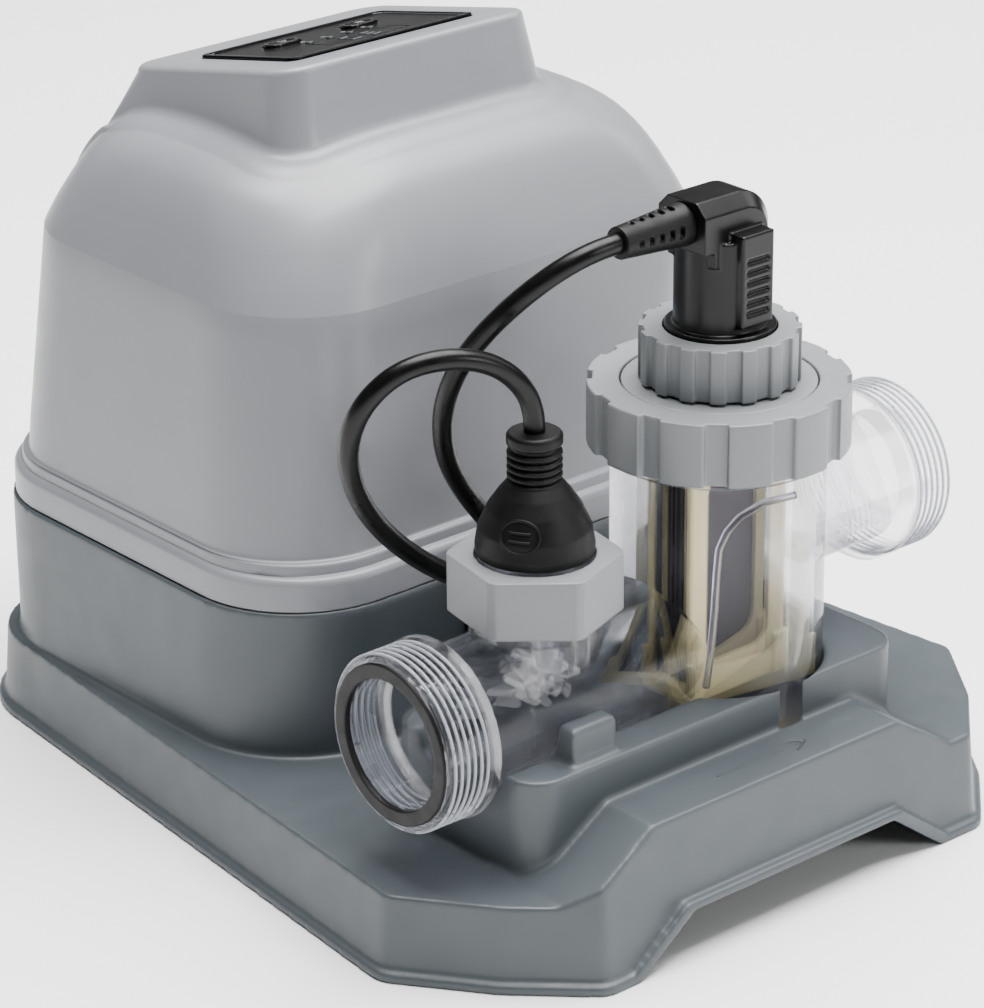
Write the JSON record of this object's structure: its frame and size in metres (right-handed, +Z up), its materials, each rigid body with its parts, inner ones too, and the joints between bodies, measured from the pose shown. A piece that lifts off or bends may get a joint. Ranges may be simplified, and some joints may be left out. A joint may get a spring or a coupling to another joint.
{
  "type": "salt chlorine generator",
  "caption": "Floor-standing salt chlorine generator: grey control box with a tilted panel, clear electrolytic cell, paddle flow sensor and looping leads.",
  "frame": {"origin": "on the floor under the middle of the base tray", "axes": "+Z up, water flows along +X, +Y from the cell towards the back of the control box"},
  "size_m": [0.2712, 0.331, 0.2548],
  "materials": {
    "base_plastic": "satin",
    "cover_plastic": "satin",
    "nut_plastic": "satin",
    "black_plastic": "satin",
    "panel_black": "gloss",
    "button_grey": "gloss",
    "clear_polycarbonate": "gloss",
    "cream_plastic": "satin",
    "white_plastic": "satin",
    "titanium_plate": "brushed",
    "bare_steel": "brushed",
    "heat_sink_metal": "satin",
    "copper_winding": "satin",
    "black_rubber": "matte",
    "cord_rubber": "satin",
    "circuit_board": "satin"
  },
  "bodies": {
    "root": {"base_shell": "base_plastic", "board_screws": "bare_steel", "bottom_plate": "base_plastic", "capacitors": "heat_sink_metal", "cell_cord": "cord_rubber", "cell_cord_gland": "black_plastic", "control_board": "circuit_board", "cover_screws": "bare_steel", "display_window": "panel_black", "flow_body": "clear_polycarbonate", "fuse_holder": "black_plastic", "heat_sink": "heat_sink_metal", "indicator_leds": "white_plastic", "indicator_lenses": "white_plastic", "inlet_gasket": "black_rubber", "led_display": "black_plastic", "mains_gland": "black_plastic", "panel_bezel": "panel_black", "panel_board": "circuit_board", "panel_standoffs": "bare_steel", "panel_switches": "black_plastic", "relay": "black_plastic", "sensor_cord_gland": "black_plastic", "terminal_block": "nut_plastic", "transformer_coil": "copper_winding", "transformer_core": "bare_steel", "upper_housing": "cover_plastic"},
    "power_button": {"power_button": "button_grey"},
    "boost_button": {"boost_button": "button_grey"},
    "cell": {"cell_cap": "nut_plastic", "cell_o_ring": "black_rubber", "cell_frame": "cream_plastic", "cell_plates": "titanium_plate", "cell_terminals": "bare_steel", "cell_plug": "black_plastic", "plug_strain_relief": "black_rubber"},
    "collar_nut": {"collar_nut": "nut_plastic"},
    "plug_nut": {"plug_nut": "nut_plastic"},
    "sensor": {"sensor_body": "clear_polycarbonate", "sensor_o_ring": "black_rubber", "paddle_axle": "bare_steel", "sensor_boot": "black_rubber", "sensor_cord": "cord_rubber"},
    "sensor_nut": {"sensor_nut": "nut_plastic"},
    "paddle": {"paddle_wheel": "white_plastic"}
  },
  "joints": [
    {"name": "power_button_press", "type": "slide", "parent": "root", "child": "power_button", "axis": [0, -0.2018, -0.9794], "range_m": [0, 0.0008], "stiffness_N_per_m": 300},
    {"name": "boost_button_press", "type": "slide", "parent": "root", "child": "boost_button", "axis": [0, -0.2018, -0.9794], "range_m": [0, 0.0008], "stiffness_N_per_m": 300},
    {"name": "cell_lift", "type": "slide", "parent": "root", "child": "cell", "axis": [0, 0, 1], "range_m": [0, 0.045]},
    {"name": "collar_nut_turn", "type": "hinge", "parent": "cell", "child": "collar_nut", "pos_m": [0.022, -0.0995, 0.154], "axis": [0, 0, 1], "continuous": true},
    {"name": "plug_nut_turn", "type": "hinge", "parent": "cell", "child": "plug_nut", "pos_m": [0.022, -0.0995, 0.174], "axis": [0, 0, 1], "continuous": true},
    {"name": "sensor_lift", "type": "slide", "parent": "root", "child": "sensor", "axis": [0, 0, 1], "range_m": [0, 0.04]},
    {"name": "sensor_nut_turn", "type": "hinge", "parent": "sensor", "child": "sensor_nut", "pos_m": [-0.0595, -0.0995, 0.116], "axis": [0, 0, 1], "continuous": true},
    {"name": "paddle_spin", "type": "hinge", "parent": "sensor", "child": "paddle", "pos_m": [-0.0595, -0.0995, 0.083], "axis": [0, 1, 0], "continuous": true}
  ]
}
